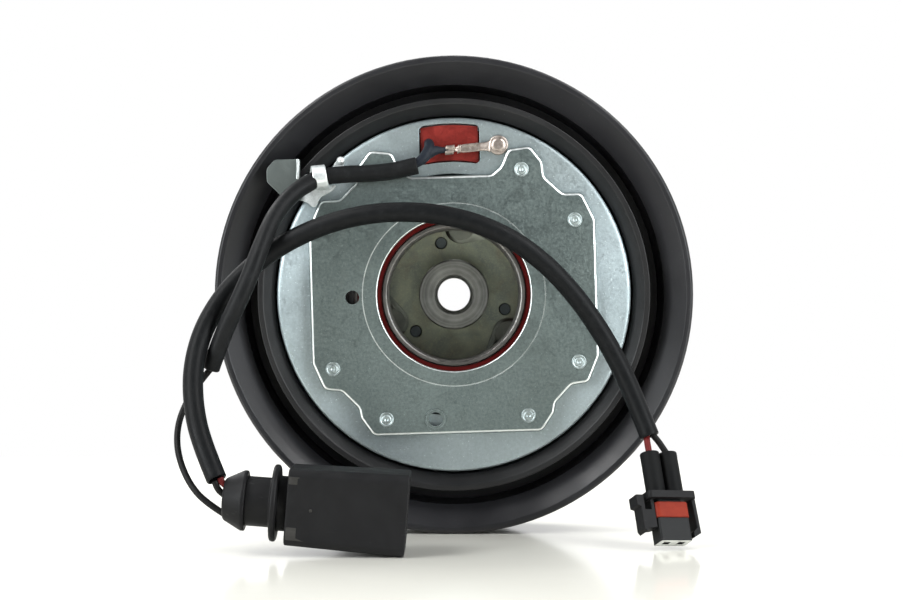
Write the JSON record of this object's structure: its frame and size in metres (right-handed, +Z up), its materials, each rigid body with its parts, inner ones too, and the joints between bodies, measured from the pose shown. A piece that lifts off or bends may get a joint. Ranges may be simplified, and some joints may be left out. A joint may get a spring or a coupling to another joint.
{
  "type": "electromagnetic clutch",
  "caption": "Electromagnetic clutch with a multi-rib pulley on a ball bearing, ring coil with cable and plugs, spring-mounted armature and a shaft hub.",
  "frame": {"origin": "on the clutch axis, in the rear face of the coil's mounting plate", "axes": "+Y along the clutch axis from the coil towards the armature and hub, +Z up with the coil's window on top, +X to the right seen from the rear"},
  "size_m": [0.1316, 0.0857, 0.125],
  "materials": {
    "coil_plate": "zinc plated, satin",
    "plate_welds": "zinc plated, satin",
    "coil_housing": "zinc plated, satin",
    "coil_bobbin": "satin",
    "coil_winding": "enamelled copper",
    "coil_resin": "glossy cast resin",
    "ground_terminal": "tinned",
    "wire_clamp": "zinc plated, bright",
    "coil_lead_wire": "satin",
    "ground_wire": "satin",
    "bearing_inner_ring": "ground",
    "lead_sleeve": "satin",
    "lead_wire": "satin",
    "harness_sleeve": "satin",
    "plug_red_wire": "satin",
    "plug_black_wire": "satin",
    "sensor_red_wire": "satin",
    "sensor_black_wire": "satin",
    "plug_rear_cap": "satin",
    "plug_housing": "satin",
    "plug_shroud": "satin",
    "plug_wire_seal": "matt",
    "plug_terminals": "tinned",
    "small_plug_boots": "matt",
    "small_plug_collar": "satin",
    "small_plug_body": "satin",
    "small_plug_seal": "matt",
    "small_plug_contacts": "tinned",
    "rotor": "black, satin",
    "pulley_rim": "black, satin",
    "bearing_outer_ring": "ground",
    "bearing_seal_rear": "matt",
    "bearing_seal_front": "matt",
    "bearing_snap_ring": "phosphated",
    "bearing_balls": "polished",
    "bearing_cage_rear": "satin",
    "bearing_cage_front": "satin",
    "hub": "turned",
    "hub_flange": "yellow passivated",
    "hub_rivets": "satin",
    "rubber_stops": "matt",
    "leaf_springs": "blued spring steel",
    "armature_plate": "ground",
    "armature_rivets": "satin"
  },
  "bodies": {
    "coil_side": {"coil_plate": "coil_plate", "plate_welds": "plate_welds", "coil_housing": "coil_housing", "coil_bobbin": "coil_bobbin", "coil_winding": "coil_winding", "coil_resin": "coil_resin", "ground_terminal": "ground_terminal", "wire_clamp": "wire_clamp", "coil_lead_wire": "coil_lead_wire", "ground_wire": "ground_wire", "bearing_inner_ring": "bearing_inner_ring", "lead_sleeve": "lead_sleeve", "lead_wire": "lead_wire", "harness_sleeve": "harness_sleeve", "plug_red_wire": "plug_red_wire", "plug_black_wire": "plug_black_wire", "sensor_red_wire": "sensor_red_wire", "sensor_black_wire": "sensor_black_wire", "plug_rear_cap": "plug_rear_cap", "plug_housing": "plug_housing", "plug_shroud": "plug_shroud", "plug_wire_seal": "plug_wire_seal", "plug_terminals": "plug_terminals", "small_plug_boots": "small_plug_boots", "small_plug_collar": "small_plug_collar", "small_plug_body": "small_plug_body", "small_plug_seal": "small_plug_seal", "small_plug_contacts": "small_plug_contacts"},
    "pulley": {"rotor": "rotor", "pulley_rim": "pulley_rim", "bearing_outer_ring": "bearing_outer_ring", "bearing_seal_rear": "bearing_seal_rear", "bearing_seal_front": "bearing_seal_front", "bearing_snap_ring": "bearing_snap_ring"},
    "ball_cage": {"bearing_balls": "bearing_balls", "bearing_cage_rear": "bearing_cage_rear", "bearing_cage_front": "bearing_cage_front"},
    "hub": {"hub": "hub", "hub_flange": "hub_flange", "hub_rivets": "hub_rivets", "rubber_stops": "rubber_stops", "leaf_springs": "leaf_springs"},
    "armature": {"armature_plate": "armature_plate", "armature_rivets": "armature_rivets"}
  },
  "joints": [
    {"name": "pulley_spin", "type": "hinge", "parent": "coil_side", "child": "pulley", "pos_m": [0, 0.0151, 0], "axis": [0, 1, 0], "continuous": true},
    {"name": "cage_spin", "type": "hinge", "parent": "coil_side", "child": "ball_cage", "pos_m": [0, 0.0151, 0], "axis": [0, 1, 0], "continuous": true},
    {"name": "hub_spin", "type": "hinge", "parent": "coil_side", "child": "hub", "pos_m": [0, 0.0334, 0], "axis": [0, 1, 0], "continuous": true},
    {"name": "armature_pull", "type": "slide", "parent": "hub", "child": "armature", "axis": [0, -1, 0], "range_m": [0, 0.00047], "stiffness_N_per_m": 20000, "deforming": ["leaf_springs"]}
  ],
  "couplings": [
    {"joint": "cage_spin", "follows": "pulley_spin", "ratio": 0.56}
  ]
}
